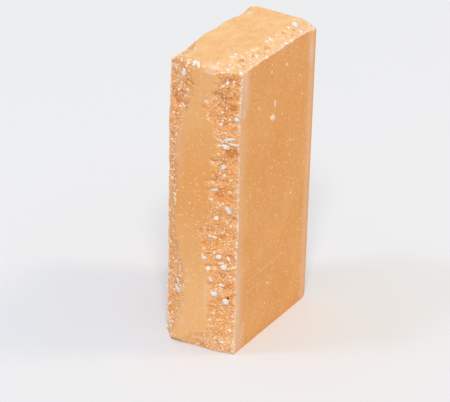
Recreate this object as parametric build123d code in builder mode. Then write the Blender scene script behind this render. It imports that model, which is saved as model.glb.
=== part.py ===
from build123d import *
import os

# A corner facing brick: one block pressed in a steel mould, with the arrises of one
# stretcher face and one header face knocked off, so that those two faces look like split
# stone. It stands on its plain header, all sizes in millimetres. +Z is up along the
# length, X runs through the thickness from bed to bed, and the worked stretcher faces -Y.
# The origin is the middle of the plain header that it stands on.

# Pressed block
length = 250.0
width = 120.0
thickness = 65.0
mould_corner_radius = 5.0

# Pressed bed faces fall away a little in a margin along their edges
bed_margin_width = 6.0
bed_margin_drop = 0.4
bed_corner_radius = 3.0

# Worked arrises. Each chip is (width lost from the rock face, depth lost from the side
# face), where the two are measured from the arris. The chips of a list lie at equal steps
# along their arris.
stretcher_near_chips = [
    (15.5, 10.6), (18, 10), (19.5, 9.5), (26, 9.2), (27, 9), (20.5, 9.1), (18, 9),
    (14.5, 9.2), (18.5, 9.5), (20.5, 9.6), (22, 9.8), (19.5, 10), (22, 10), (27.5, 10.3),
    (30, 10), (27, 10), (26, 9.8), (21.5, 10), (19.5, 10), (21, 10.2), (22, 10.2),
    (22.5, 10), (22.5, 10.1), (23, 10), (24.5, 10.4),
]
stretcher_far_chips = [
    (10, 12), (13.5, 11.8), (17.5, 11.6), (19.5, 11.7), (23, 11.8), (23.5, 12), (23, 12),
    (22, 11.9), (18, 11.8), (15, 11.7), (13, 11.6), (12.5, 11.5), (14, 11.4), (15.5, 11.2),
    (14.5, 11.4), (14.5, 11), (13.5, 10.8), (12.5, 10.4), (16, 10.2), (19.5, 10.8),
    (25, 11.4), (28, 11.4), (29.5, 11.8), (25, 12), (28, 12.4),
]
header_near_chips = [
    (12, 7.6), (15.5, 5.6), (15, 4), (12.5, 3.4), (14.5, 3.2), (15.5, 3.2), (12.5, 3.4),
    (15.5, 3.4), (16, 3.2), (20, 3.4), (21.5, 3.8), (25.5, 4.8), (27, 5.8),
]
header_far_chips = [
    (16, 7.4), (17.5, 8.4), (17, 9.2), (11, 9), (7.5, 8.5), (6.5, 8.8), (8.5, 9.5),
    (7.5, 9.2), (7.2, 9), (10, 10.6), (10.5, 11.2), (8.5, 10), (8.5, 9.5),
]
stretcher_top_chips = [
    (12, 13), (10.5, 10), (8, 8), (3, 3), (3.5, 3.5), (9, 8), (13.5, 10.5),
]
stretcher_foot_chips = [
    (24, 11), (21, 8), (19, 5.8), (15, 5), (4.5, 3.5), (3, 3.5), (6, 8),
]

# A struck chip is hollow: half way down, it lies this far below a straight bevel
chip_hollow = 0.8

# How far the cutting solids stand out of the block's faces and past its ends
cutter_margin = 3.0

# Every arris as its start, the way inwards along the rock face, the direction that its
# chips are listed in, the distance between its ends, and its chips.
half_thickness = thickness / 2
half_width = width / 2
near, far = half_thickness, -half_thickness
front, back = -half_width, half_width
bed_plane = Plane(origin=(0, 0, length / 2), x_dir=(0, 1, 0), z_dir=(1, 0, 0))
UP, DOWN = (0, 0, 1), (0, 0, -1)
worked_arrises = [
    ((near, front, length), (-1, 0, 0), DOWN, length, stretcher_near_chips),
    ((far, front, 0), (1, 0, 0), UP, length, stretcher_far_chips),
    ((near, back, length), (-1, 0, 0), (0, -1, 0), width, header_near_chips),
    ((far, front, length), (1, 0, 0), (0, 1, 0), width, header_far_chips),
    ((far, front, length), DOWN, (1, 0, 0), thickness, stretcher_top_chips),
    ((near, front, 0), UP, (-1, 0, 0), thickness, stretcher_foot_chips),
]


def chip_section(face_width, side_depth):
    """Corners of the cutter at one chip: its two struck lines meet in the hollow, run on
    past both faces of the block, and close round the arris outside the block."""
    reach = face_width * side_depth / (face_width**2 + side_depth**2) ** 0.5
    sink = chip_hollow / reach / 2
    hollow = Vector(face_width * (0.5 + sink), side_depth * (0.5 + sink))
    face_line = Vector(face_width, 0) - hollow
    side_line = Vector(0, side_depth) - hollow
    past_face = hollow + face_line * (1 + cutter_margin / side_depth)
    past_side = hollow + side_line * (1 + cutter_margin / face_width)
    outside = Vector(past_side.X, past_face.Y)
    return [outside, past_face, hollow, past_side]


with BuildPart() as corner_brick:
    # The mould's walls, with rounded corners in the outline of the beds
    with BuildSketch(bed_plane.offset(far + bed_margin_drop)):
        RectangleRounded(width, length, mould_corner_radius)
    extrude(amount=thickness - 2 * bed_margin_drop)

    # Both beds, which rise from the walls through their margin to the flat of the bed
    for bed, walls in ((near, near - bed_margin_drop), (far, far + bed_margin_drop)):
        with BuildSketch(bed_plane.offset(walls)):
            RectangleRounded(width, length, mould_corner_radius)
        with BuildSketch(bed_plane.offset(bed)):
            RectangleRounded(width - 2 * bed_margin_width, length - 2 * bed_margin_width,
                             bed_corner_radius)
        loft(ruled=True)

    # The worked arrises, each cut by one ruled solid through its chips
    for start, inwards, along, run, chips in worked_arrises:
        step = (run + 2 * cutter_margin) / (len(chips) - 1)
        arris = Plane(origin=start, x_dir=inwards, z_dir=along)
        for place, (face_width, side_depth) in enumerate(chips):
            with BuildSketch(arris.offset(place * step - cutter_margin)):
                Polygon(*chip_section(face_width, side_depth), align=None)
        loft(ruled=True, mode=Mode.SUBTRACT)

corner_brick.part.label = "corner_brick"
os.makedirs("parts", exist_ok=True)
export_step(corner_brick.part, "parts/corner_brick.step")

size = corner_brick.part.bounding_box().size
print(f"corner_brick {size.X:.2f} x {size.Y:.2f} x {size.Z:.2f} mm")
print(f"volume {corner_brick.part.volume / 1000:.1f} cm3, {len(corner_brick.part.faces())} faces")
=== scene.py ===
# %% [markdown]
# # A corner facing brick with a chipped stone face
#
# This lesson dresses one solid brick. It was pressed dry in a steel mould and fired, and then
# the edges, or arrises, of one long face and one end were knocked off by hand, so that those
# two look like split stone. They are its rock faces. The brick stands on its plain end. A
# pressed face and a rock face want different treatment: the first is almost flat, and its
# interest is in its colour, while the second is all relief. So one closed surface carries
# both, and it knows at every point how much was struck off there.
#
# Lengths are in millimetres while a shape is worked out, and turn to metres when it becomes
# a mesh. Z is up. X runs through the thickness, from one large flat face, a bed, to the
# other. The long rock face, the stretcher, looks along -Y, and the one on the end, the
# header, is on top.

# %% The frame, and the box that everything stays in
import itertools
import bpy
import numpy as np
from mathutils import Matrix


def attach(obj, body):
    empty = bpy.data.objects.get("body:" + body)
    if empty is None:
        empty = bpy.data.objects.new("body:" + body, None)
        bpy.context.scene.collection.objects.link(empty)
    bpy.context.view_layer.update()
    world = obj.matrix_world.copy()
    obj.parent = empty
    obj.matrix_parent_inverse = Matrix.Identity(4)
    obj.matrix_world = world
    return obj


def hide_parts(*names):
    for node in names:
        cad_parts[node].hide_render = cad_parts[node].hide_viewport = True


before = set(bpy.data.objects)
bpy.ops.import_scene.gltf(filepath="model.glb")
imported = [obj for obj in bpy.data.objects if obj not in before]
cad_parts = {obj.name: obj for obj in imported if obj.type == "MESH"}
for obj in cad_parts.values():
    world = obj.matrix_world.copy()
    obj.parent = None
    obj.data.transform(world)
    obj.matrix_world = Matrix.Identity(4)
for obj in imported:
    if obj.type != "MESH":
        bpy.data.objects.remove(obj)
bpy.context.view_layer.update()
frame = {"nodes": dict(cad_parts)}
scene = bpy.context.scene
MM = 0.001
print("nodes in the frame:", ", ".join(frame["nodes"]))

# %% [markdown]
# ## The camera
#
# A photograph of a brick is a geometry lesson of its own: the edges of a box give the
# camera's direction and its distance. Here the camera stands about 1.9 m away, 31 degrees
# round from the stretcher and 28 degrees up, behind a long lens. It could be aimed at a
# target, but the frame is tilted by a degree and a half and the brick isn't in its middle. So
# it is placed by a rotation matrix, whose columns are its right, up and back. A lamp shines
# as a camera looks, along its own -Z, so the same two functions will place the lamps.

# %% Camera
brick_middle = np.array([0, 0, 125.0])


def facing(towards, raised):
    """The right, up and back of a camera or lamp that faces the brick, as columns of a
    matrix. It stands at an angle from +X in plan, and at one above the horizontal, both in
    degrees."""
    plan, lift = np.radians([towards, raised])
    back = np.array([np.cos(plan) * np.cos(lift), np.sin(plan) * np.cos(lift), np.sin(lift)])
    right = np.array([-np.sin(plan), np.cos(plan), 0])
    return np.stack([right, np.cross(back, right), back], axis=1)


def put(thing, place, axes):
    """Links a camera or lamp, at a place in metres, turned to those axes."""
    scene.collection.objects.link(thing)
    thing.matrix_world = Matrix.Translation(place.tolist()) @ Matrix(axes.tolist()).to_4x4()


tilt = np.radians(1.584)
tilted = np.array([[np.cos(tilt), -np.sin(tilt), 0], [np.sin(tilt), np.cos(tilt), 0],
                   [0, 0, 1]])
# 31.458 degrees round from -Y, where the stretcher looks
camera_axes = facing(31.458 - 90, 28.468) @ tilted
# The brick's middle as the camera sees it: to the right, up, and behind the lens
middle_in_view = np.array([9.446, 16.100, -1931.1])
eye = (brick_middle - camera_axes @ middle_in_view) * MM

camera = bpy.data.objects.new("camera", bpy.data.cameras.new("camera"))
put(camera, eye, camera_axes)
scene.camera = camera
camera.data.lens = 195.34
camera.data.sensor_width = 36
camera.data.clip_end = 20
print("camera at", np.round(eye, 3), "m")

# %% [markdown]
# ## The pressed block and its chips
#
# The block has rounded corners in the outline of its beds, as its mould has. Each knocked-off
# arris could be sculpted, but then nobody could change it by a number. So it is a run of
# chips, and a chip is two lengths: how much of the rock face it takes and how much of the
# side face, both measured from the arris. The chips of a run lie at equal steps, from just
# before one end of the arris to just past the other.

# %% Sizes of the block, and the chips along every arris
length, width, thickness = 250.0, 120.0, 65.0
mould_corner_radius = 5.0
bed_margin_width, bed_margin_drop = 6.0, 0.4
run_past_end = 3.0

chip_runs = {
    "stretcher_near": [
        (15.5, 10.6), (18, 10), (19.5, 9.5), (26, 9.2), (27, 9), (20.5, 9.1), (18, 9),
        (14.5, 9.2), (18.5, 9.5), (20.5, 9.6), (22, 9.8), (19.5, 10), (22, 10),
        (27.5, 10.3), (30, 10), (27, 10), (26, 9.8), (21.5, 10), (19.5, 10),
        (21, 10.2), (22, 10.2), (22.5, 10), (22.5, 10.1), (23, 10), (24.5, 10.4)],
    "stretcher_far": [
        (10, 12), (13.5, 11.8), (17.5, 11.6), (19.5, 11.7), (23, 11.8), (23.5, 12),
        (23, 12), (22, 11.9), (18, 11.8), (15, 11.7), (13, 11.6), (12.5, 11.5),
        (14, 11.4), (15.5, 11.2), (14.5, 11.4), (14.5, 11), (13.5, 10.8), (12.5, 10.4),
        (16, 10.2), (19.5, 10.8), (25, 11.4), (28, 11.4), (29.5, 11.8), (25, 12),
        (28, 12.4)],
    "header_near": [
        (12, 7.6), (15.5, 5.6), (15, 4), (12.5, 3.4), (14.5, 3.2), (15.5, 3.2),
        (12.5, 3.4), (15.5, 3.4), (16, 3.2), (20, 3.4), (21.5, 3.8), (25.5, 4.8),
        (27, 5.8)],
    "header_far": [
        (16, 7.4), (17.5, 8.4), (17, 9.2), (11, 9), (7.5, 8.5), (6.5, 8.8), (8.5, 9.5),
        (7.5, 9.2), (7.2, 9), (10, 10.6), (10.5, 11.2), (8.5, 10), (8.5, 9.5)],
    "stretcher_top": [
        (12, 13), (10.5, 10), (8, 8), (3, 3), (3.5, 3.5), (9, 8), (13.5, 10.5)],
    "stretcher_foot": [
        (24, 11), (21, 8), (19, 5.8), (15, 5), (4.5, 3.5), (3, 3.5), (6, 8)],
}
half_thickness, half_width = thickness / 2, width / 2
print(f"block {length:g} x {width:g} x {thickness:g} mm, {len(chip_runs)} chipped arrises")

# %% [markdown]
# ## Two kinds of noise
#
# Broken brick is irregular at every scale, and two noises give that. Soft noise is a random
# value at every corner of a lattice, mixed in between: it waves. Bowls are what a blow leaves
# in a brittle thing, hollow shells that meet in sharp ridges. Turned over, bowls are pebbles
# with creases between them. Both are read in space and not across a face, so that relief runs
# round an arris without a seam. Both take one size or one for each axis, and a seed.

# %% Soft noise and bowls
# The random values repeat after this many cells
TABLE = 32
# The bowls' own levels differ by up to this, in squared cells, and all end at this height
level_spread, rim_height = 0.35, 0.75


def soft_noise(points, size, seed):
    """Waves from -1 to 1. A lattice with cells of that size holds a random value at every
    corner, and a point mixes its eight corners with weights 3t^2 - 2t^3 along each axis."""
    table = np.random.default_rng(seed).uniform(-1, 1, (TABLE, TABLE, TABLE))
    cells = points / size
    low = np.floor(cells).astype(int)
    t = cells - low
    t = t * t * (3 - 2 * t)
    total = 0
    for step in itertools.product((0, 1), repeat=3):
        weight = np.prod(np.where(step, t, 1 - t), axis=-1)
        corner = (low + step) % TABLE
        total = total + weight * table[corner[..., 0], corner[..., 1], corner[..., 2]]
    return total


def bowls(points, size, seed):
    """Hollow shells from 0 at their ridges to 1 at their lowest point. Every cell of a
    lattice has one centre at a random place in it, and a point is as high as the squared
    distance to its nearest centre, in cells, plus that bowl's own random level. This height
    is taken as a share of the rim's, and turned over."""
    table = np.random.default_rng(seed).uniform(0, 1, (TABLE, TABLE, TABLE, 4))
    cells = points / size
    low = np.floor(cells).astype(int)
    height = np.full(points.shape[:-1], np.inf)
    for step in itertools.product((-1, 0, 1), repeat=3):
        cell = low + step
        index = cell % TABLE
        drawn = table[index[..., 0], index[..., 1], index[..., 2]]
        away = ((cells - cell - drawn[..., :3]) ** 2).sum(axis=-1)
        height = np.minimum(height, away + level_spread * drawn[..., 3])
    return 1 - np.clip(height / rim_height, 0, 1)


def smooth_step(values, low, high):
    """0 below low, 1 above high, and 3t^2 - 2t^3 of the share t in between."""
    t = np.clip((values - low) / (high - low), 0, 1)
    return t * t * (3 - 2 * t)


print("noise repeats after", TABLE, "cells")

# %% [markdown]
# ## What was struck off
#
# A chip takes away everything outside a hollow curve from the rock face to the side face. As
# a function of the distance from the arris, the depth of that curve is the chip's depth times
# 1 - 0.8 t - 0.2 t^3, where t is that distance as a share of the chip's width. A tool
# doesn't cut the same width twice, so each run's width and depth waver along the arris. A few
# single bites, each a ball, took off corners and frayed the edge of the pressed face.

# %% Chips along an arris
def chip_run(name, run, seed, fray=0.08):
    """Places every quarter of a millimetre along an arris, and the chips' width and depth
    there: the listed chips joined by straight lines, times 1 plus soft noise. The width
    wavers by fray in waves of 2.6 mm and by 0.6 of it in waves of 5 mm, and the depth by
    0.03 in waves of 3.2 mm."""
    chips = np.array(chip_runs[name], float)
    listed = np.linspace(-run_past_end, run + run_past_end, len(chips))
    along = np.arange(0, run + 0.25, 0.25)
    spots = np.stack([along, along * 0, along * 0], axis=-1)
    waver = 0.6 * fray * soft_noise(spots, 5.0, seed)
    waver += fray * soft_noise(spots, 2.6, seed + 1)
    chatter = 0.03 * soft_noise(spots, 3.2, seed + 2)
    across = np.interp(along, listed, chips[:, 0]) * (1 + waver)
    down = np.interp(along, listed, chips[:, 1]) * (1 + chatter)
    return along, across, down


runs = {
    "stretcher_near": chip_run("stretcher_near", length, 11),
    "stretcher_far": chip_run("stretcher_far", length, 21, fray=0.05),
    "header_near": chip_run("header_near", width, 31),
    "header_far": chip_run("header_far", width, 41),
    "stretcher_top": chip_run("stretcher_top", thickness, 51),
    "stretcher_foot": chip_run("stretcher_foot", thickness, 61),
}
for name, (_, across, down) in runs.items():
    print(f"{name}: chips {across.min():.1f} to {across.max():.1f} mm wide, "
          f"{down.min():.1f} to {down.max():.1f} mm deep")

# %% What is left of the block, as a function of place
# Single bites, as middle and radius of a ball
bites = [
    ((-27.5, 60, 251.5), 8.0), ((4.5, -62.5, 108), 4.5), ((5.5, -62, 215), 3.5),
    ((13.5, -62.5, 171.5), 4.0), ((9, -62, 153), 3.5), ((-19, 60.8, 252), 4.5),
]


def outside_block(y, z):
    """Distance outside the pressed outline, a rounded rectangle of Y and Z; inside it is
    below 0."""
    dy = np.abs(y) - (half_width - mould_corner_radius)
    dz = np.abs(z - length / 2) - (length / 2 - mould_corner_radius)
    beyond = np.hypot(np.maximum(dy, 0), np.maximum(dz, 0))
    return beyond + np.minimum(np.maximum(dy, dz), 0) - mould_corner_radius


def struck_off(x, y, z):
    """How far a point lies outside what is left of the block: the largest of its distance
    outside the pressed outline, its height over the curve of each chip and its depth in
    each bite. Beyond a chip's width there is no curve, and -1 stands for its height."""
    from_near, from_far = half_thickness - x, half_thickness + x
    from_front, from_back = half_width + y, half_width - y
    from_top = length - z
    arrises = [
        ("stretcher_near", from_near, from_front, from_top),
        ("stretcher_far", from_far, from_front, z),
        ("header_near", from_near, from_top, from_back),
        ("header_far", from_far, from_top, from_front),
        ("stretcher_top", from_top, from_front, from_far),
        ("stretcher_foot", z, from_front, from_near),
    ]
    most = outside_block(y, z)
    for name, across_face, into_side, from_start in arrises:
        along, across, down = runs[name]
        t = np.clip(across_face / np.interp(from_start, along, across), 0, 1)
        depth = np.interp(from_start, along, down) * (1 - 0.8 * t - 0.2 * t ** 3)
        most = np.maximum(most, np.where(depth > 0, depth - into_side, -1))
    for (middle_x, middle_y, middle_z), radius in bites:
        away = np.sqrt((x - middle_x) ** 2 + (y - middle_y) ** 2 + (z - middle_z) ** 2)
        most = np.maximum(most, radius - away)
    return most


near_corner = struck_off(half_thickness, -half_width, length)
print(f"the header's near corner was {near_corner:.1f} mm outside what is left")

# %% [markdown]
# ## The brick's skin as distances from a core
#
# The skin could be a height above each face, but then the rounded mould corners and the
# chipped top arris would belong to two faces at once. Instead a smaller rectangle, the core,
# lies 16 mm inside the block. Rays leave its sides straight and fan out at its corners, and
# the skin is how far each ray gets. Every ray meets the skin once, so the surface can't fold
# over itself, however rough it is. One parameter walks round the core, the other goes across
# the brick from bed to bed. The two rock faces get a point every 0.5 mm across their chipped
# sides and every 0.62 mm along them, which is finer than a pixel. Their pressed middle, the
# plain back and the lower end get fewer.

# %% Rays round the core, and how far they get
core = 16.0
core_y, core_low, core_high = half_width - core, core, length - core
fine_along, fine_across = 0.62, 0.5
stretcher_rays = int((core_high - core_low) / fine_along)
header_rays = int(2 * core_y / fine_along)
rock_corner = 47
# Half the width of the middle strip of a rock face, where nothing is struck off
pressed_half = 9.0

# Legs of the walk, each with its start and end (Y, Z), the first and last angle of its rays
# in degrees, and their number
walk = [
    ((-core_y, core_low), (-core_y, core_high), 180, 180, stretcher_rays),
    ((-core_y, core_high), (-core_y, core_high), 180, 90, rock_corner),
    ((-core_y, core_high), (core_y, core_high), 90, 90, header_rays),
    ((core_y, core_high), (core_y, core_high), 90, 0, rock_corner),
    ((core_y, core_high), (core_y, core_low), 0, 0, 55),
    ((core_y, core_low), (core_y, core_low), 0, -90, 16),
    ((core_y, core_low), (-core_y, core_low), -90, -90, 22),
    ((-core_y, core_low), (-core_y, core_low), -90, -180, rock_corner),
]


def walk_round(legs):
    """Origins and directions in the YZ plane of the rays of all legs: on each leg, the
    origin goes from its start to its end and the angle from its first to its last."""
    origins, angles = [], []
    for start, end, first, last, count in legs:
        t = np.arange(count)[:, None] / count
        origins.append(np.array(start) * (1 - t) + np.array(end) * t)
        angles.append(np.radians(first + (last - first) * t[:, 0]))
    angles = np.concatenate(angles)
    return np.concatenate(origins), np.stack([np.cos(angles), np.sin(angles)], axis=1)


def skin_points(reach):
    """Points on the rays at that reach, as X, Y, Z."""
    y = origin[:, :1] + way[:, :1] * reach
    z = origin[:, 1:] + way[:, 1:] * reach
    return np.stack([np.broadcast_to(x_grid, reach.shape), y, z], axis=-1)


def ray_reach(outside):
    """Distance along every ray at which outside(x, y, z) turns positive, by halving 16 times
    a stretch of one and a half cores: a corner is 1.41 cores away, and nothing is further."""
    near_end = np.zeros((len(origin), columns))
    far_end = near_end + core * 1.5
    for _ in range(16):
        middle = (near_end + far_end) / 2
        out = outside(*np.moveaxis(skin_points(middle), -1, 0)) > 1e-6
        near_end = np.where(out, near_end, middle)
        far_end = np.where(out, middle, far_end)
    return near_end


origin, way = walk_round(walk)
rays = len(origin)
chipped_x = np.arange(half_thickness, pressed_half, -fine_across)
x_grid = np.concatenate([-chipped_x, np.linspace(-pressed_half, pressed_half, 16),
                         chipped_x[::-1]])[None, :]
columns = x_grid.size
pressed_reach = ray_reach(lambda x, y, z: outside_block(y, z))
chipped_reach = ray_reach(struck_off)
lost = pressed_reach - chipped_reach
print(f"{rays} rays x {columns} columns, up to {lost.max():.1f} mm struck off")

# %% [markdown]
# ## Relief of the broken clay
#
# Dry-pressed clay is crumbs of ground clay and stone, squeezed together. Where it breaks, the
# break runs round the crumbs. A bump in the shader would do for fine sand, but this relief
# casts shadows and shows in the outline, so it is real geometry. It has four sizes: shells
# some 13 mm long where pieces came away, ledges 3 mm tall that follow the blow from the bed,
# crumbs of 2 mm that stand out, and coarse sand over them all. Shells and ledges are hollow,
# and the crumbs are the same bowls turned over.
#
# The relief starts where the pressed face ends, and is full once 2.4 mm is struck off, or
# 6 mm on the lower far side, whose edge is soft. In the lower half it is a quarter weaker. At
# the bed it is less than half as high, because the hammer leaves that arris fairly straight.
# Pockets are placed where a piece broke out deeper than its neighbours. Each is a round
# hollow whose depth falls off as exp(-d^2), where d is the distance to its middle in radii.

# %% Pockets, as middle, radii and depth
pockets = [
    ((22, -54, 241), (9, 5, 4), 1.2), ((19, -55, 224), (5, 5, 6), 0.9),
    ((14, -58, 229), (3, 4, 4), 0.7), ((26, -53, 217), (5, 5, 4), 0.8),
    ((20, -54.5, 210), (7, 5, 3), 0.6), ((26, -53, 179.5), (8, 5, 3), 0.8),
    ((14.5, -59, 172), (4, 4, 4), 0.5), ((15, -58.5, 156.5), (6, 4, 3), 0.8),
    ((20, -54.5, 141), (7, 5, 4), 0.8), ((21, -53.5, 108), (8, 5, 5), 0.7),
    ((9.5, -58.3, 111.5), (4, 4, 3), 0.5), ((29, -51.5, 44), (5, 5, 2.5), 0.7),
    ((20, -55.5, 53), (4, 4, 3), 0.6), ((-20, -52.6, 219), (10, 5, 4), 0.9),
    ((-25, -51, 212), (8, 5, 3), 0.7), ((-12, -57, 205), (5, 4, 5), 0.4),
    ((18.5, 39, 249), (1.4, 3, 4), 1.8), ((20, 34.5, 249), (1.4, 2.5, 4), 1.8),
    ((22, 28, 248.5), (1.5, 3, 4), 1.9), ((17.8, 11, 249), (1.3, 3, 4), 1.6),
    ((20.5, 4, 248.5), (1.3, 3, 4), 1.3), ((24, -2, 248), (1.4, 3.5, 4), 1.2),
    ((18, -23, 249), (1.3, 3, 4), 1.4), ((20.5, -31, 248.5), (1.4, 4, 4), 1.8),
    ((13, -41, 249.5), (2, 2.5, 4), 1.2),
]
print(len(pockets), "pockets, the deepest", max(depth for *_, depth in pockets), "mm deep")

# %% Relief and the finished skin
# The skin lies this far inside the box, so that a grain that is cut off at the box shows
flush_depth = 0.06
chipped = skin_points(chipped_reach)
broken = smooth_step(lost, 0.0, 1.2)
from_bed = half_thickness - np.abs(x_grid)
shells = bowls(chipped, (13, 7, 7), 3)
ledges = bowls(chipped, (7, 2.7, 2.7), 4)
crumbs = bowls(chipped, (2.6, 1.6, 1.6), 5)
sand = soft_noise(chipped, (1.6, 0.95, 0.95), 6)
pocket = sum(depth * np.exp(-(((chipped - middle) / radii) ** 2).sum(axis=-1))
             for middle, radii, depth in pockets)
# Each noise less about its mean, times its height in millimetres
relief = 1.4 * (shells - 0.4) + 0.7 * (ledges - 0.4) - 0.8 * (crumbs - 0.3) + 0.2 * sand
soft_edge = (x_grid < 0) * smooth_step(-chipped[..., 2], -190, -130)
relief = relief * smooth_step(lost, 0.0, 2.4 + 3.6 * soft_edge) + pocket * broken
relief = relief * (0.75 + 0.25 * smooth_step(chipped[..., 2], 90, 150))
relief = relief * (0.4 + 0.6 * smooth_step(from_bed, 0.0, 4.0))
# The end that it stands on stays on the floor
flush = flush_depth * np.minimum(1, 1 + way[:, 1:])
reach = np.minimum(chipped_reach - relief, pressed_reach) - flush
skin = skin_points(reach)


def bed_height(y, z):
    """How far the bed's surface is from the middle plane: half the thickness, less the flush
    depth and a margin that falls away evenly over the last millimetres inside the pressed
    outline."""
    inside = -outside_block(y, z)
    margin = bed_margin_drop * np.clip(1 - inside / bed_margin_width, 0, 1)
    return half_thickness - flush_depth - margin


# The columns are drawn together a little, so that the first and the last end at the beds
far_edge = bed_height(skin[:, 0, 1], skin[:, 0, 2])[:, None]
near_edge = bed_height(skin[:, -1, 1], skin[:, -1, 2])[:, None]
skin[..., 0] = x_grid / half_thickness * np.where(x_grid < 0, far_edge, near_edge)
print(f"relief from {relief.min():.2f} to {relief.max():.2f} mm, and the skin spans",
      np.round(skin.min(axis=(0, 1)), 2), np.round(skin.max(axis=(0, 1)), 2))

# %% [markdown]
# ## Closing the skin with two beds
#
# A bed could be one many-sided face, but then its margin would have no slope. So it is a set
# of rings, from the skin's own edge inwards, which share the ragged arris exactly. The outer
# rings are close together, for the pressed margin, and one last face closes the middle.
# Points are shared everywhere, so the brick is one closed solid. Edges sharper than 50
# degrees are marked sharp, which keeps the arris and the ridges of the break crisp while the
# pressed faces shade smoothly.

# %% Rings of the beds, and the faces between them
ring_shares = np.array([0.012, 0.03, 0.05, 0.08, 0.12, 0.2, 0.38, 0.62, 0.86])


def bed_rings(edge, side):
    """Rings of the bed on that side: each point goes a share of its way from the edge to
    the nearest point of the bed's middle line."""
    nearest = np.clip(edge[:, 2], half_width, length - half_width)
    middle_line = np.stack([edge[:, 1] * 0, nearest], axis=1)
    share = ring_shares[:, None, None]
    rings = edge[None, :, 1:] * (1 - share) + middle_line[None] * share
    height = side * bed_height(rings[..., 0], rings[..., 1])
    return np.concatenate([height[..., None], rings], axis=-1)


def closed_quads(numbers):
    """Four-sided faces between neighbouring rows and columns of a grid of point numbers,
    which closes on itself along its rows."""
    following = np.roll(numbers, -1, axis=0)
    return np.stack([numbers[:, :-1], numbers[:, 1:], following[:, 1:], following[:, :-1]],
                    axis=-1).reshape(-1, 4)


skin_numbers = np.arange(rays * columns).reshape(rays, columns)
far_rings, near_rings = bed_rings(skin[:, 0], -1), bed_rings(skin[:, -1], 1)
ring_count = len(ring_shares)
far_numbers = np.arange(ring_count * rays).reshape(ring_count, rays).T + rays * columns
near_numbers = far_numbers + ring_count * rays
brick_points = np.concatenate([skin.reshape(-1, 3), far_rings.reshape(-1, 3),
                               near_rings.reshape(-1, 3)])
brick_faces = [
    closed_quads(skin_numbers),
    closed_quads(np.concatenate([far_numbers[:, ::-1], skin_numbers[:, :1]], axis=1)),
    closed_quads(np.concatenate([skin_numbers[:, -1:], near_numbers], axis=1)),
    far_numbers[None, :, -1],
    near_numbers[None, ::-1, -1],
]
print(len(brick_points), "points, in", ring_count, "rings on each bed")

# %% One mesh for the whole brick
def make_piece(name, points, faces):
    """A mesh object at the origin from points in millimetres and arrays of faces, in which
    each row lists the points of one face."""
    mesh = bpy.data.meshes.new(name)
    corners = np.concatenate([rows.ravel() for rows in faces])
    sizes = np.concatenate([np.full(len(rows), rows.shape[1]) for rows in faces])
    mesh.vertices.add(len(points))
    mesh.vertices.foreach_set("co", (points * MM).astype(np.float32).ravel())
    mesh.loops.add(len(corners))
    mesh.loops.foreach_set("vertex_index", corners.astype(np.int32))
    mesh.polygons.add(len(sizes))
    mesh.polygons.foreach_set("loop_start", (np.cumsum(sizes) - sizes).astype(np.int32))
    mesh.update(calc_edges=True)
    mesh.validate()
    piece = bpy.data.objects.new(name, mesh)
    scene.collection.objects.link(piece)
    print(name, "has", int((sizes - 2).sum()), "triangles")
    return piece


brick = make_piece("brick_body", brick_points, brick_faces)
brick.data.shade_smooth()
brick.data.set_sharp_from_angle(angle=np.radians(50))

# %% [markdown]
# ## What the surface remembers
#
# The finish has to know where the clay was pressed and where it broke, how deep a hollow is,
# what looks up, and where an arris was bruised, which leaves it pale. Those are stored on the
# points as attributes, and the material reads them. Painting the same from object coordinates
# alone would lose the ragged edge of the break. A bruise comes in spots: along the edge of the
# pressed face it is rare, and along the beds, where the hammer struck, it is frequent. A hollow
# gets painted shade, less where it looks up, because light from above falls into it, and less
# where it looks down, because it is in shade already. What looks up is painted paler, as light
# from above.

# %% Attributes for the finish
def keep(piece, name, values):
    """Stores one number for each point of the piece under that name."""
    attribute = piece.data.attributes.new(name, "FLOAT", "POINT")
    attribute.data.foreach_set("value", values.astype(np.float32).ravel())


patches = soft_noise(chipped, 3.4, 71) + 0.7 * soft_noise(chipped, 1.2, 72)
sunken = 0.9 * (shells - 0.4) + 0.9 * (ledges - 0.4) - 1.1 * (crumbs - 0.3) + 1.1 * pocket
# Painted shade in the hollows of the break, from how deep they lie
hollow = smooth_step(sunken, 0.05, 1.1) * smooth_step(lost, 0.3, 1.8)
# Bands along the edge of the pressed face, and 0.55 and 1.7 mm wide along the beds
rim = np.exp(-((lost - 0.6) / 0.5) ** 2) * (lost > 0.02)
arris = np.exp(-(from_bed / 0.55) ** 2) * (lost > 1.5)
worn = np.exp(-(from_bed / 1.7) ** 2) * (lost > 1.5)
bruise = (rim * smooth_step(patches, 0.2, 0.9) * 0.9
          + worn * (0.2 + 0.3 * smooth_step(patches, -0.4, 0.8))
          + arris * smooth_step(patches, 0.0, 0.9))
normals = np.empty(3 * len(brick_points), np.float32)
brick.data.vertex_normals.foreach_get("vector", normals)
skin_normals = normals.reshape(-1, 3)[:lost.size]
looking_up = skin_normals[:, 2].reshape(lost.shape)
upward, downward = smooth_step(looking_up, 0.55, 0.95), smooth_step(-looking_up, 0.1, 0.5)
of_skin = {
    "broken": smooth_step(lost + 0.3 * patches, 0.0, 1.8 + 3.2 * soft_edge),
    "hollow": hollow * (1 - 0.15 * upward - 0.5 * downward),
    "bruise": np.minimum(bruise, 1),
    "upward": upward,
    "bed": np.zeros(lost.shape),
}
for name, values in of_skin.items():
    of_beds = np.full(2 * ring_count * rays, float(name == "bed"))
    keep(brick, name, np.concatenate([values.ravel(), of_beds]))
print(f"broken surface: {(broken > 0.5).mean():.0%} of the skin's points")

# %% [markdown]
# ## Lime grit
#
# Crushed limestone was mixed into the clay, and the break lays it open: white angular grains
# from dust up to a centimetre. Instances of one stone would look alike, so each grain is its
# own icosahedron, 20 faces, with its corners pulled in and out at random. All of them are
# worked out in one array.

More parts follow.
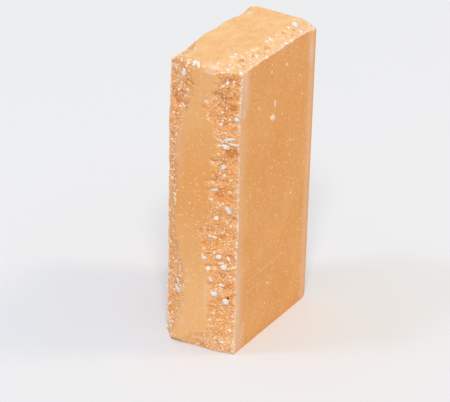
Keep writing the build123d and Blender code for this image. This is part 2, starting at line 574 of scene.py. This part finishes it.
# %% An icosahedron, and grains made from it
def icosahedron():
    """The 12 corners (0, +-1, +-g) and their cyclic turns, where g is the golden ratio, at
    distance 1, and the 20 triples of corners that are an edge length from each other."""
    golden = (1 + 5 ** 0.5) / 2
    corner = np.array([(0, a, b * golden) for a in (-1, 1) for b in (-1, 1)])
    corners = np.concatenate([corner, np.roll(corner, 1, axis=1), np.roll(corner, 2, axis=1)])
    triples = np.array(list(itertools.combinations(range(12), 3)))
    gaps = np.linalg.norm(corners[triples] - corners[np.roll(triples, 1, axis=1)], axis=2)
    faces = triples[np.all(gaps < 2.01, axis=1)]
    inside_out = np.linalg.det(corners[faces]) < 0
    faces[inside_out] = faces[inside_out][:, ::-1]
    return corners / np.linalg.norm(corners[0]), faces


def drawn_out(angular):
    """An icosahedron's corners, drawn out towards a cuboid as angular goes from 1 to 0."""
    corners = icosahedron()[0]
    return np.sign(corners) * np.abs(corners) ** angular


def grains(shape, centres, half_sizes, axes, rng):
    """Points and faces of one grain per centre: the corners of the shape, each times a random
    0.7 to 1.25, times the half sizes, laid along the axes, which are the columns of a matrix
    per grain."""
    faces = icosahedron()[1]
    pulled = shape[None] * rng.uniform(0.7, 1.25, (len(centres), 12, 1))
    placed = (pulled * half_sizes[:, None]) @ np.swapaxes(axes, 1, 2) + centres[:, None]
    numbered = faces[None] + 12 * np.arange(len(centres))[:, None, None]
    return placed.reshape(-1, 3), numbered.reshape(-1, 3)


def random_turns(count, rng):
    """Rotation matrices of random unit quaternions."""
    quarter = rng.normal(size=(count, 4))
    w, x, y, z = (quarter / np.linalg.norm(quarter, axis=1, keepdims=True)).T
    return np.stack([
        np.stack([1 - 2 * (y * y + z * z), 2 * (x * y - w * z), 2 * (x * z + w * y)], 1),
        np.stack([2 * (x * y + w * z), 1 - 2 * (x * x + z * z), 2 * (y * z - w * x)], 1),
        np.stack([2 * (x * z - w * y), 2 * (y * z + w * x), 1 - 2 * (x * x + y * y)], 1),
    ], 1)


print("an icosahedron has", len(icosahedron()[1]), "faces")

# %% [markdown]
# ## The large grains, one by one
#
# The eye remembers a few large pieces of limestone, so those are listed one by one: where each
# one lies, how wide and how tall it shows, and how far it leans. They are flat flakes, more
# like splinters than pebbles. So each icosahedron is drawn out to a block with a flat top,
# laid down on the slope of the break, and sunk into it until little more than its top shows.
# Smaller ones lie flush in the bed, where the punch pressed over them.

# %% Flakes, as place (X, Y, Z), width, height and lean in degrees
front_flakes = [
    (-16.7, -53.4, 236.7, 4.6, 9.6, -15), (-6.8, -55.6, 247.0, 3.4, 4.4, -20),
    (-2.5, -56.8, 247.4, 2.6, 6.6, 58), (22.0, -54.3, 238.3, 2.4, 3.2, 0),
    (18.5, -55.9, 203.1, 2.0, 2.6, 10), (29.4, -52.4, 208.5, 4.0, 4.0, 30),
    (25.6, -54.0, 191.6, 7.0, 2.2, 4), (21.6, -54.8, 184.6, 5.6, 4.0, -12),
    (28.0, -52.4, 187.2, 6.5, 2.2, -14), (19.1, -57.7, 190.6, 2.8, 2.2, 0),
    (18.9, -58.3, 186.5, 2.6, 1.8, 0), (21.8, -56.4, 166.8, 4.0, 4.4, -35),
    (22.0, -55.2, 160.0, 1.8, 4.0, -15), (14.8, -58.0, 145.7, 6.0, 3.6, 20),
    (12.8, -58.9, 139.3, 4.0, 1.6, -12), (25.0, -52.7, 130.3, 3.6, 7.4, 28),
    (-21.3, -59.0, 126.7, 3.0, 3.0, 0), (16.1, -56.1, 121.5, 3.6, 3.8, 20),
    (11.4, -56.7, 104.8, 3.4, 2.8, 0), (15.0, -55.1, 104.2, 3.8, 2.0, -5),
    (18.5, -54.3, 87.2, 4.2, 3.8, 10), (26.2, -52.1, 86.2, 1.8, 4.4, 35),
    (8.0, -59.3, 85.5, 4.4, 2.4, 0), (20.8, -53.9, 81.8, 4.0, 2.0, 0),
    (22.4, -53.3, 78.5, 4.4, 5.0, -10), (11.2, -58.7, 76.1, 3.0, 3.4, 15),
    (13.6, -58.6, 67.5, 2.4, 4.6, 38), (21.5, -54.0, 62.5, 4.0, 2.4, -15),
    (17.0, -57.2, 55.0, 5.0, 5.2, -20), (24.8, -53.1, 48.2, 4.6, 6.0, 6),
    (-19.8, -53.3, 53.4, 1.8, 5.0, 42), (-19.9, -53.1, 45.7, 3.4, 7.7, 60),
    (-31.3, -48.9, 56.0, 2.2, 6.5, 0), (-5.0, -59.9, 61.0, 1.6, 1.6, 0),
    (22.2, -53.7, 10.4, 3.6, 2.2, -10), (-27.1, -51.4, 7.7, 3.2, 4.0, 0),
    (2.2, -55.9, 2.4, 3.0, 1.2, -8), (31.0, -50.6, 2.0, 2.0, 3.0, 0),
    (28.8, -51.2, 22.5, 2.0, 3.0, 35),
]
top_flakes = [
    (20.3, 46.3, 248.4, 5.0, 8.5, 50), (20.2, 36.5, 248.3, 1.8, 3.0, 0),
    (20.1, 10.5, 248.7, 2.0, 7.5, 65), (19.3, 5.0, 249.2, 1.8, 5.5, 35),
    (30.6, 16.0, 246.9, 3.6, 3.6, 30), (28.9, 41.5, 246.7, 1.8, 5.0, 90),
    (25.3, -19.4, 247.5, 2.6, 6.0, 45), (13.0, -29.1, 250.0, 3.4, 4.0, 20),
    (32.0, -14.0, 246.6, 2.0, 4.5, 50), (31.9, -3.8, 246.7, 1.6, 5.0, 60),
    (19.9, 19.0, 248.5, 1.8, 3.6, 80), (32.2, 7.8, 246.6, 1.8, 2.4, 0),
    (-18.4, 42.5, 250.0, 4.8, 2.4, 54), (-17.6, -37.0, 249.0, 2.2, 4.4, 70),
    (29.7, -48.0, 246.0, 2.6, 3.8, 20), (23.6, -41.0, 247.3, 1.8, 6.0, 55),
    (17.5, -44.2, 247.9, 1.8, 2.2, 0), (21.5, -46.5, 247.4, 1.8, 2.4, 20),
    (20.7, -52.0, 247.6, 1.8, 2.6, 10), (10.8, -49.0, 248.9, 2.2, 2.6, 30),
    (28.0, -31.5, 247.0, 2.4, 2.8, 0), (29.6, 40.3, 246.8, 1.8, 4.0, 0),
]
# All of these are at one X, so their rows start with Y
bed_flakes = [
    (-0.3, 201.9, 2.2, 8.0, 6), (-2.7, 191.1, 6.2, 7.6, 30), (15.9, 229.2, 2.2, 2.6, 20),
    (-6.9, 231.4, 2.2, 1.8, 0), (36.3, 211.8, 1.2, 2.6, 20), (41.7, 193.7, 1.2, 3.4, 30),
    (-6.5, 237.4, 1.0, 1.4, 0), (20.7, 239.4, 1.2, 1.2, 0), (-23.9, 207.4, 1.4, 2.0, 30),
    (-31.9, 240.2, 1.4, 1.8, 0), (11.7, 188.4, 1.2, 1.6, 0), (24.8, 160.7, 1.4, 2.4, 20),
    (-22.0, 175.7, 1.2, 1.4, 0), (-1.4, 146.8, 1.2, 2.0, 20), (29.2, 111.3, 1.6, 2.0, 0),
    (41.2, 93.5, 1.4, 1.4, 0), (-2.0, 43.0, 1.8, 2.4, 20), (3.0, 60.0, 1.0, 1.6, 0),
]
print(len(front_flakes), "flakes in the stretcher,", len(top_flakes), "in the header and",
      len(bed_flakes), "in the bed")

# %% How a flake lies
skin_list = skin.reshape(-1, 3)


def nearest_skin(points):
    """The number of the skin's point that lies nearest to each of the given points."""
    return np.array([np.argmin(((skin_list - point) ** 2).sum(axis=1)) for point in points])


def lie_at(points):
    """The mean normal of the skin within 3 mm of each of the given points, and how far each
    point has to move along it to lie level with the mean of that skin."""
    close = [((skin_list - point) ** 2).sum(axis=1) < 3 ** 2 for point in points]
    normal = np.array([skin_normals[around].mean(axis=0) for around in close])
    normal /= np.linalg.norm(normal, axis=1, keepdims=True)
    middle = np.array([skin_list[around].mean(axis=0) for around in close])
    return normal, ((middle - points) * normal).sum(axis=1)


def flake_axes(rows, across, tall, slope):
    """A matrix per flake. Its first two columns are its width and height: they run along the
    face's two directions, turned by its lean and laid down on the slope, where a direction v
    becomes v - (v.n / u.n) u for the normals u of the face and n of the slope. The third
    column is n. Where the slope looks away from the face, u.n counts as 0.4 at least, or
    the flake would grow without end."""
    lean = np.radians(rows[:, 5])[:, None]
    outward = np.cross(across, tall)
    open_to_face = np.maximum(slope @ outward, 0.4)[:, None]
    wide = np.cos(lean) * across + np.sin(lean) * tall
    high = np.cos(lean) * tall - np.sin(lean) * across
    wide, high = (v - (v * slope).sum(axis=1, keepdims=True) / open_to_face * outward
                  for v in (wide, high))
    return np.stack([wide, high, slope], axis=2)


front, top = np.array(front_flakes), np.array(top_flakes)
# Flakes in the bed have their middles 0.15 mm under it
bed = np.insert(np.array(bed_flakes), 0, half_thickness - 0.15, axis=1)
flakes = np.concatenate([front, top, bed])
in_break = len(front) + len(top)
flake_centres = flakes[:, :3].copy()
flake_centres[:in_break] = skin_list[nearest_skin(flakes[:in_break, :3])]
slopes, level = lie_at(flake_centres[:in_break])
# Depth of the flakes' middles under the mean of the skin
level -= np.repeat([0.15, 0.2], [len(front), len(top)])
flake_centres[:in_break] += level[:, None] * slopes
axis_x, axis_y, axis_z = np.eye(3)
flake_lie = np.concatenate([flake_axes(front, axis_x, axis_z, slopes[:len(front)]),
                            flake_axes(top, axis_x, axis_y, slopes[len(front):]),
                            flake_axes(bed, axis_y, axis_z, np.tile(axis_x, (len(bed), 1)))])
print(f"flakes move by {level.min():.1f} to {level.max():.1f} mm to lie in the break")

# %% The flakes' shape
rng = np.random.default_rng(250)
half_thin = np.repeat([0.5, 0.6, 0.4], [len(front), len(top), len(bed)])
half_flakes = np.stack([flakes[:, 3] / 2, flakes[:, 4] / 2, half_thin], axis=1)
# A flake is broken flat: all but its four lowest corners lie at its full height, and its
# sides slope out below them. The two corners in the middle of the top are drawn in, so that
# its edge stays convex when corners are pulled at random.
splinter = drawn_out(0.3)
sunk = splinter[:, 2] < 0
splinter[:, 2] = np.where(sunk, -1, 1)
splinter[sunk, :2] *= 1.2
splinter[~sunk & (splinter[:, 0] == 0), 1] *= 0.5
flake_points, flake_faces = grains(splinter, flake_centres, half_flakes, flake_lie, rng)
# A tone from 0, stained by clay, to 1, white, and above 1 freshly broken
flake_tone = np.concatenate([rng.uniform(1, 1.5, in_break),
                             rng.uniform(0.25, 0.75, len(bed))])
print(len(flakes), "flakes placed by hand")

# %% [markdown]
# ## Grit scattered over the break
#
# Thousands of small grains are scattered over the points of the broken skin at random. They
# lie thicker in clusters, along the struck arrises, along the edge of the pressed face and
# near the foot, and a little thinner on what looks up. They keep clear of the flakes: each
# flake rules out the points that lie in a ball squashed to a little more than its size. There
# are many more small ones than large ones, as in any crushed stone, so a radius is a random
# share to a negative power.

# %% Grit
grit_count = 5700
clear = np.ones(len(skin_list), bool)
for centre, half_size, lie in zip(flake_centres, half_flakes, flake_lie):
    from_flake = (skin_list - centre) @ np.linalg.inv(lie).T / (half_size + [0.3, 0.3, 1.5])
    clear &= (from_flake ** 2).sum(axis=1) > 1
clusters = smooth_step(soft_noise(chipped, (9, 7, 7), 81), -0.6, 0.8)
near_foot = 1 - smooth_step(chipped[..., 2], 8, 24)
thick = broken * (0.5 + 0.85 * clusters + 2.2 * arris + 0.9 * rim + 0.5 * near_foot)
thick *= 1 - 0.15 * upward
chance = (thick * smooth_step(lost, 0.4, 1.4)).ravel() * clear
chosen = rng.choice(len(skin_list), grit_count, replace=False, p=chance / chance.sum())
radius = np.minimum(0.25 * (1 - rng.random(grit_count)) ** -0.38, 1.2)
half_sizes = radius[:, None] * rng.uniform(0.5, 1.4, (grit_count, 3))
centres = skin_list[chosen]
# A grain's middle lies 0.4 of its radius under the skin, inwards along its ray
centres[:, 1:] -= way[chosen // columns] * (0.4 * radius)[:, None]
grit_points, grit_faces = grains(drawn_out(0.8), centres, half_sizes,
                                 random_turns(grit_count, rng), rng)
# Small grains are mostly stained by the clay round them
grit_tone = rng.uniform(0.3, 1, grit_count) * smooth_step(radius, -0.15, 0.55)
print(f"{grit_count} grains, {(radius > 0.9).sum()} of them over 1.8 mm")

# %% All the limestone in one piece, cut off at the box
all_points = np.concatenate([grit_points, flake_points])
# Grains at the foot end 0.02 mm above the floor
all_points = np.clip(all_points, [-half_thickness, -half_width, 0.02],
                     [half_thickness, half_width, length])
lime = make_piece("lime_grit", all_points, [grit_faces, flake_faces + len(grit_points)])
keep(lime, "tone", np.repeat(np.concatenate([grit_tone, flake_tone]), 12))

# %% [markdown]
# ## Nodes and colours
#
# A material could be clicked together by hand, but written down it can be read from top to
# bottom. One function turns a hex colour, as a colour picker shows it, to the linear values
# that the shader works with. Another adds a node: its settings by name, and its sockets by
# name or number, where another node's output is linked and a number is set. Most of a finish
# is layers, as in a paint program, each with a share of the surface that it covers, so a
# third adds those.

# %% Helpers for materials
def linear(colour):
    """An sRGB hex colour as linear red, green, blue and alpha: below 0.04045 a value is
    divided by 12.92, and above it is ((value + 0.055) / 1.055) to the power 2.4."""
    values = np.array([int(colour[i:i + 2], 16) for i in (1, 3, 5)]) / 255
    low = values / 12.92
    high = ((values + 0.055) / 1.055) ** 2.4
    return (*np.where(values <= 0.04045, low, high).tolist(), 1.0)


def add_node(owner, kind, sockets=None, **settings):
    """Adds a node to a material or a world, gives it its settings, and fills its sockets."""
    added = owner.node_tree.nodes.new("ShaderNode" + kind)
    for name, value in settings.items():
        setattr(added, name, value)
    for socket, value in (sockets or {}).items():
        if isinstance(value, bpy.types.NodeSocket):
            owner.node_tree.links.new(value, added.inputs[socket])
        else:
            added.inputs[socket].default_value = value
    return added


def layered(material, colour, layers):
    """A colour under layers. Each layer is a share from 0 to 1, an amount that it is
    multiplied by, and a hex colour or a socket: colour (1 - share) + layer share."""
    for share, amount, layer in layers:
        cover = add_node(material, "Math", {0: share, 1: amount}, operation="MULTIPLY")
        layer = linear(layer) if isinstance(layer, str) else layer
        colour = add_node(material, "Mix", {0: cover.outputs[0], 6: colour, 7: layer},
                          data_type="RGBA").outputs[2]
    return colour


def millimetres(material):
    """The shaded point in object coordinates, in millimetres."""
    metres = add_node(material, "TexCoord").outputs["Object"]
    return add_node(material, "VectorMath", {0: metres, "Scale": 1 / MM},
                    operation="SCALE").outputs[0]


def new_material(name):
    """An empty node material."""
    material = bpy.data.materials.new(name)
    material.use_nodes = True
    material.node_tree.nodes.clear()
    return material


print("apricot in linear values:", np.round(linear("#e1a168"), 3))

# %% [markdown]
# ## Dry-pressed clay
#
# The real thing is an apricot facing clay with ground limestone in it, pressed almost dry and
# fired. The steel mould leaves a close, matt skin with soft cloudy patches, a few pale specks
# where a lime grain touches the mould, and faint streaks where the brick slid out of it.
# Where it is broken, the same clay is rougher and more saturated, with painted shade in its
# hollows, and powdery pale along a bruised arris. Fired clay has an index of refraction near
# 1.5 and a roughness near 0.85, and a stronger bump makes its break look rougher still.

# %% The clay: its clouds, mottling and sand
clay = new_material("dry_pressed_fired_clay")
spot = millimetres(clay)
stored = {name: add_node(clay, "Attribute", attribute_name=name).outputs["Fac"]
          for name in ("broken", "hollow", "bruise", "upward", "bed")}

# Clouds of 34 mm are how the damp clay filled the mould, and 2.6 mm is its mottling. Ground
# clay has grit of 0.2 mm, which is drawn at 0.8 mm, the finest that a picture shows. Painted
# light on what looks up comes in soft patches of 6 to 9 mm. Blows that ran from bed to bed left
# zones 14 mm long and 7 mm tall, and the mould's walls dragged streaks 22 mm long. Strata 4 mm
# by 1 mm are painted shade under small ledges of the break.
# Each pattern is its cell's size, and the noise's values that become 0 and 1.
pattern_cells = {
    "cloudy": ((34, 34, 34), 0.35, 0.65),
    "mottled": ((2.6, 2.6, 2.6), 0.32, 0.68),
    "sandy": ((0.8, 0.8, 0.8), 0.36, 0.64),
    "top_light": ((6, 9, 6), 0.36, 0.64),
    "zones": ((14, 7, 7), 0.38, 0.62),
    "ledge_shade": ((4, 1, 1), 0.44, 0.62),
    "dragged": ((1.6, 1.6, 22), 0.45, 0.75),
}
pattern = {}
for name, (cell, low, high) in pattern_cells.items():
    scaled = add_node(clay, "VectorMath", {0: spot, 1: [1 / c for c in cell]},
                      operation="MULTIPLY").outputs[0]
    noise = add_node(clay, "TexNoise", {"Vector": scaled, "Scale": 1.0, "Detail": 3.0})
    pattern[name] = add_node(clay, "MapRange", {"Value": noise.outputs[0], "From Min": low,
                                                "From Max": high}).outputs[0]
# In the break every crumb has its own shade: Voronoi cells 1.2 mm long, 0.9 mm across
crumb = add_node(clay, "VectorMath", {0: spot, 1: (1 / 1.2, 1 / 0.9, 1 / 0.9)},
                 operation="MULTIPLY").outputs[0]
crumb = add_node(clay, "TexVoronoi", {"Vector": crumb, "Scale": 1.0}).outputs["Color"]
pattern["crumbs"] = add_node(clay, "SeparateColor", {0: crumb}).outputs[0]
print("patterns:", ", ".join(pattern))

# %% [markdown]
# ### Marks of the mould
#
# A bed isn't one even colour. The punch presses its edges less than its middle, which leaves
# a pale greyish strip along the front of the bed, strongest at both ends. Along the back the
# bed rounds over, and a narrower pale strip there is a painted highlight, with painted shade
# at its outermost edge. Half way up the clay fired ruddier. Towards the foot the walls are
# painted paler, and the lowest part of the break more so, as painted light thrown up by the
# floor. Handling left fine scratches and soft smudges, and one deep pore is painted as a dark
# dot of shade.
#
# These could be painted by hand, but then they would need an image. Instead a strip is a
# range of one coordinate, made ragged by adding a little noise to it. A smudge, a scratch or
# a pore is a ball squashed to three radii and turned, and a spherical gradient fades it out
# from its middle.

# %% Strips and ends
axes_of_spot = add_node(clay, "SeparateXYZ", {0: spot}).outputs
wobble = add_node(clay, "MapRange", {"Value": pattern["mottled"], "To Min": -1.6,
                                     "To Max": 1.6}).outputs[0]
ragged_y = add_node(clay, "Math", {0: axes_of_spot["Y"], 1: wobble}, operation="ADD").outputs[0]

# The coordinate that each follows, where it starts and ends in mm, and its share at either
strips = {
    "to_top": (axes_of_spot["Z"], 226, 242, 0.45, 1),
    "to_foot": (axes_of_spot["Z"], 95, 62, 0.4, 0.95),
    "front": (ragged_y, -51, -36, 1, 0),
    # The back strip is a painted highlight where the bed rounds over, and the outermost one is
    # painted shade at its very edge
    "back": (ragged_y, 47, 54, 0, 0.5),
    "back_edge_shade": (axes_of_spot["Y"], 56, 58.5, 0, 0.3),
    # The last two are painted light thrown up by the floor, on the walls and on the lowest part
    # of the break
    "foot_light": (axes_of_spot["Z"], 20, 130, 0.85, 0),
    "floor_light": (axes_of_spot["Z"], 4, 24, 0.55, 0),
}
strip = {}
for name, (along, start, end, share_at_start, share_at_end) in strips.items():
    limits = {"Value": along, "From Min": start, "From Max": end, "To Min": share_at_start,
              "To Max": share_at_end}
    strip[name] = add_node(clay, "MapRange", limits, interpolation_type="SMOOTHSTEP").outputs[0]
to_ends = add_node(clay, "Math", {0: strip["to_top"], 1: strip["to_foot"]},
                   operation="MAXIMUM").outputs[0]
front_strip = add_node(clay, "Math", {0: strip["front"], 1: to_ends},
                       operation="MULTIPLY").outputs[0]
print("strips:", ", ".join(strip))

# %% Smudges, scratches, ruddy places and a pore: middle, radii, turn about X, strength
smudges = [
    ((32.5, 53, 226), (5, 5, 15), 0, 0.8), ((32.5, 10, 243), (5, 1.8, 7), 0, 0.5),
    ((32.5, 22, 246), (5, 3, 5), 0, 0.45), ((32.5, -44, 236), (5, 4.5, 16), 0, 0.7),
    ((32.5, -37.5, 21), (5, 1.5, 9), 0, 0.6), ((32.5, -33, 42), (5, 1.2, 8), 0, 0.5),
    ((32.5, -23, 20), (5, 1.5, 8), -8, 0.6), ((32.5, -19, 25), (5, 1, 7), 0, 0.5),
    ((32.5, -3.5, 18), (5, 1.6, 9), 0, 0.4), ((32.5, -17, 45), (5, 1.6, 10), 0, 0.45),
    ((32.5, -33, 78), (5, 1.4, 8), 0, 0.4), ((10, -60, 52), (2.4, 4, 24), 0, 0.5),
    ((-11, -60, 21), (4, 4, 7), 0, 0.4), ((11.5, -56, 248.7), (8.5, 4, 1.4), 0, 1.5),
    ((9.5, -59.3, 245.2), (9, 4, 1.4), 0, 1.5), ((-17, -58, 172), (8, 7, 45), 0, 0.28),
    ((32.5, -43, 220), (5, 8, 14), 0, 0.5), ((32.5, -46.5, 211), (5, 3, 6), 0, 0.9),
    ((32.5, -40, 12), (5, 6, 14), 0, 0.5), ((32.5, -13, 59.8), (5, 34, 0.8), 0, 0.8),
    ((32.5, -25, 49.2), (5, 18, 0.8), -2, 0.8),
]
ruddy_places = [((0, -60, 150), (70, 12, 56), 0, 0.9), ((32.5, 10, 165), (8, 70, 50), 0, 0.5)]
# A deep pore is painted as a dark dot of shade
pores = [((26.5, -52.1, 51.3), (1.1, 1.5, 1.1), 0, 3)]


def faded_balls(balls):
    """The sum of the balls: each is its strength in its middle and falls evenly to 0 at its
    radii."""
    total = 0.0
    for middle, radii, turned, strength in balls:
        ball = add_node(clay, "Mapping", {"Vector": spot, "Location": middle, "Scale": radii,
                                          "Rotation": (np.radians(turned), 0, 0)},
                        vector_type="TEXTURE").outputs[0]
        faded = add_node(clay, "TexGradient", {0: ball}, gradient_type="SPHERICAL").outputs[1]
        total = add_node(clay, "Math", {0: faded, 1: strength, 2: total},
                         operation="MULTIPLY_ADD").outputs[0]
    return total


smudged, ruddy, pore = faded_balls(smudges), faded_balls(ruddy_places), faded_balls(pores)
# A smudge catches on the sand of the skin
patchy = add_node(clay, "MapRange", {"Value": pattern["sandy"], "To Min": 0.45}).outputs[0]
print(len(smudges), "smudges and scratches")

# %% [markdown]
# ### Specks in the pressed skin
#
# Where a grain lies just under the pressed skin it shows as a speck. They could be pieces of
# their own, but a thousand dots that stand up by nothing are better drawn. Voronoi cells give
# one centre each at random places, and a speck is drawn where the distance to it, in cells,
# is below the cell's own random radius, which is 0 for many. The cell's colour can't be that
# random number, because it also says where in the cell the centre lies, so White Noise makes
# a new one of it.

# %% Two sizes of specks: cell in mm, share of cells without one, largest radius in cells
speck_sizes = {"fine_speck": (2.3, 0.3, 0.36), "lime_speck": (8.3, 0.5, 0.13)}
specks = {}
for name, (cell, without, largest) in speck_sizes.items():
    cells = add_node(clay, "TexVoronoi", {"Vector": spot, "Scale": 1 / cell}).outputs
    own = add_node(clay, "TexWhiteNoise", {"Vector": cells["Color"]}).outputs["Value"]
    speck_radius = add_node(clay, "MapRange", {"Value": own, "From Min": without,
                                               "To Max": largest}).outputs[0]
    specks[name] = add_node(clay, "Math", {0: cells["Distance"], 1: speck_radius},
                            operation="LESS_THAN").outputs[0]
print("specks:", ", ".join(specks))

# %% Colours of the pressed clay, from the clay itself up to the painted light on top
# What looks up is painted paler in soft patches, as painted light from above
painted_top_light = add_node(clay, "MapRange", {"Value": pattern["top_light"], "To Min": 0.2,
                                     "To Max": 0.45}).outputs[0]
# Towards the foot the wall is painted paler, as painted light from the floor
wall = layered(clay, linear("#d99249"), [(pattern["cloudy"], 1, "#e3a567"),
                                         (strip["foot_light"], 1, "#e9b075")])
punched = layered(clay, linear("#de8f40"), [(pattern["cloudy"], 1, "#e59c51")])
pressed = layered(clay, wall, [
    (stored["bed"], 1, punched),
    (ruddy, 1, "#dc8a38"),
    (pattern["mottled"], 0.32, "#e8ae72"),
    (pattern["dragged"], 0.12, "#ecbb8c"),
    (pattern["sandy"], 0.36, "#f0bd7e"),
    (specks["fine_speck"], 0.58, "#f8d19a"),
    (specks["lime_speck"], 0.6, "#f6dcb6"),
    (front_strip, stored["bed"], "#e9c09c"),
    # Painted highlight where the bed rounds over at the back, then painted shade at its
    # outermost edge
    (strip["back"], stored["bed"], "#ebc097"),
    (strip["back_edge_shade"], 1, "#dc9850"),
    # Painted light on what looks up, in soft patches
    (painted_top_light, stored["upward"], "#f0d6a6"),
])
print("the pressed clay goes from", np.round(linear("#d99249")[:3], 2), "to",
      np.round(linear("#f8d19a")[:3], 2))

# %% Colours of the broken clay, and what lies on both
torn = layered(clay, linear("#e38f41"), [
    (pattern["mottled"], 1, "#efaf6c"),
    (pattern["zones"], 0.75, "#dc8230"),
    # Painted shade under small ledges of the break
    (pattern["ledge_shade"], 0.5, "#d07626"),
    (pattern["crumbs"], 0.65, "#fac88a"),
    # Painted light from the floor on the lowest part of the break
    (strip["floor_light"], 1, "#f5ba7c"),
    # Painted light on what looks up
    (stored["upward"], 0.7, "#eac594"),
    # Painted shade in the hollows
    (stored["hollow"], 0.85, "#c8742c"),
])
colour = layered(clay, pressed, [
    (stored["broken"], 1, torn),
    (stored["bruise"], 1, "#f8e6d2"),
    (smudged, patchy, "#e6ccbc"),
    # Painted shade in the pore
    (pore, 1, "#3a2618"),
])
print("its hollows go down to", np.round(linear("#c8742c")[:3], 2))

# %% Grain and shader of the clay
grain_height = add_node(clay, "TexNoise", {"Vector": spot, "Scale": 1 / 0.8, "Detail": 3.0})
bump_strength = add_node(clay, "MapRange", {"Value": stored["broken"], "To Min": 0.12,
                                            "To Max": 0.8}).outputs[0]
bump = add_node(clay, "Bump", {"Height": grain_height.outputs[0], "Strength": bump_strength,
                               "Distance": 0.0006})
shader = add_node(clay, "BsdfPrincipled", {"Base Color": colour, "Roughness": 0.85,
                                           "IOR": 1.5, "Normal": bump.outputs[0]})
add_node(clay, "OutputMaterial", {0: shader.outputs[0]})
brick.data.materials.append(clay)
print(clay.name, "has", len(clay.node_tree.nodes), "nodes")

# %% [markdown]
# ## Crushed limestone
#
# Limestone breaks into chalky, slightly warm white pieces, and firing leaves their surface
# powdery, so it is rougher than the clay. No two grains are the same white, and the stored
# tone of each decides: at 0 it still carries clay, at 1 it is clean, and up to 1.5 it is a
# large flake whose fresh break is greyer.

# %% Limestone
limestone = new_material("crushed_limestone")
tone = add_node(limestone, "Attribute", attribute_name="tone").outputs["Fac"]
# Chalk has a grain far below 0.1 mm; blotches of clay dust 1.5 mm wide are what shows
dust = add_node(limestone, "TexNoise", {"Vector": millimetres(limestone), "Scale": 1 / 1.5,
                                        "Detail": 3.0})
dusty = add_node(limestone, "MapRange", {"Value": dust.outputs[0], "From Min": 0.45,
                                         "From Max": 0.75, "To Max": 0.3}).outputs[0]
fresh = add_node(limestone, "MapRange", {"Value": tone, "From Min": 1.0,
                                         "From Max": 1.5}).outputs[0]
white = layered(limestone, linear("#f4d2a8"), [
    (tone, 1, "#f4ede2"),
    (fresh, 1, "#dfdad3"),
    (dusty, 1, "#ecc08e"),
])
chalky = add_node(limestone, "BsdfPrincipled", {"Base Color": white, "Roughness": 0.95,
                                                "IOR": 1.5})
add_node(limestone, "OutputMaterial", {0: chalky.outputs[0]})
lime.data.materials.append(limestone)
print(limestone.name, "has", len(limestone.node_tree.nodes), "nodes")

# %% [markdown]
# ## Floor and light
#
# The brick stands on a plain pale floor, under an even white sky. A high, broad sun behind
# the camera lights the rock face and the bed alike, and shades the relief from above. Two
# small softboxes add the rest: the front left one is a touch cooler and lights the chipped
# face, the back right one a touch warmer and lights the bed. Each leaves a faint shadow on
# the floor. Together they light the brick at the level at which a colour looks as it was
# written. The camera, reflections and glass see the sky as a pale backdrop, which is a colour
# and gives no light to the brick.

# %% Floor
paper = new_material("matt_paper")
matt = add_node(paper, "BsdfPrincipled", {"Base Color": linear("#e0e2e5"),
                                          "Roughness": 0.95})
add_node(paper, "OutputMaterial", {0: matt.outputs[0]})
floor_corners = 6000.0 * np.array([[-1, -1, 0], [1, -1, 0], [1, 1, 0], [-1, 1, 0]])
floor = make_piece("floor", floor_corners, [np.array([[0, 1, 2, 3]])])
floor.data.materials.append(paper)

# %% Sky
sky = bpy.data.worlds.new("sky")
scene.world = sky
sky.use_nodes = True
sky.node_tree.nodes.clear()
path = add_node(sky, "LightPath").outputs
seen = add_node(sky, "Math", {0: path["Is Camera Ray"], 1: path["Is Glossy Ray"]},
                operation="MAXIMUM").outputs[0]
seen = add_node(sky, "Math", {0: seen, 1: path["Is Transmission Ray"]},
                operation="MAXIMUM").outputs[0]
lighting = add_node(sky, "Background", {"Color": linear("#ffffff"), "Strength": 0.6})
backdrop = add_node(sky, "Background", {"Color": linear("#e2e0e0"), "Strength": 1.0})
shown = add_node(sky, "MixShader", {0: seen, 1: lighting.outputs[0], 2: backdrop.outputs[0]})
add_node(sky, "OutputWorld", {0: shown.outputs[0]})
scene.view_settings.view_transform = "Standard"
print("the sky has", len(sky.node_tree.nodes), "nodes")

# %% Lamps
def add_lamp(kind, name, towards, raised, power, **settings):
    """A lamp of that kind, 2.2 m from the brick's middle, which it faces."""
    lamp = bpy.data.objects.new(name, bpy.data.lights.new(name, kind))
    lamp.data.energy = power
    for setting, value in settings.items():
        setattr(lamp.data, setting, value)
    lamp_axes = facing(towards, raised)
    put(lamp, brick_middle * MM + 2.2 * lamp_axes[:, 2], lamp_axes)


add_lamp("AREA", "front_left_lamp", -136, 60, 7.0, size=0.3, color=linear("#cfe2ff")[:3])
add_lamp("AREA", "back_right_lamp", 31, 57, 7.0, size=0.3, color=linear("#ffe2b0")[:3])
add_lamp("SUN", "high_window", -59, 50, 1.5, angle=np.radians(14))

# %% [markdown]
# ## Fixing the pieces to the model
#
# The dressed skin stands for the plain CAD brick, which stays for collisions but isn't shown.

# %% Ride, replace and finish
for piece in (brick, lime):
    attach(piece, "root")
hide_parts("corner_brick")
scene.view_layers[0].update()
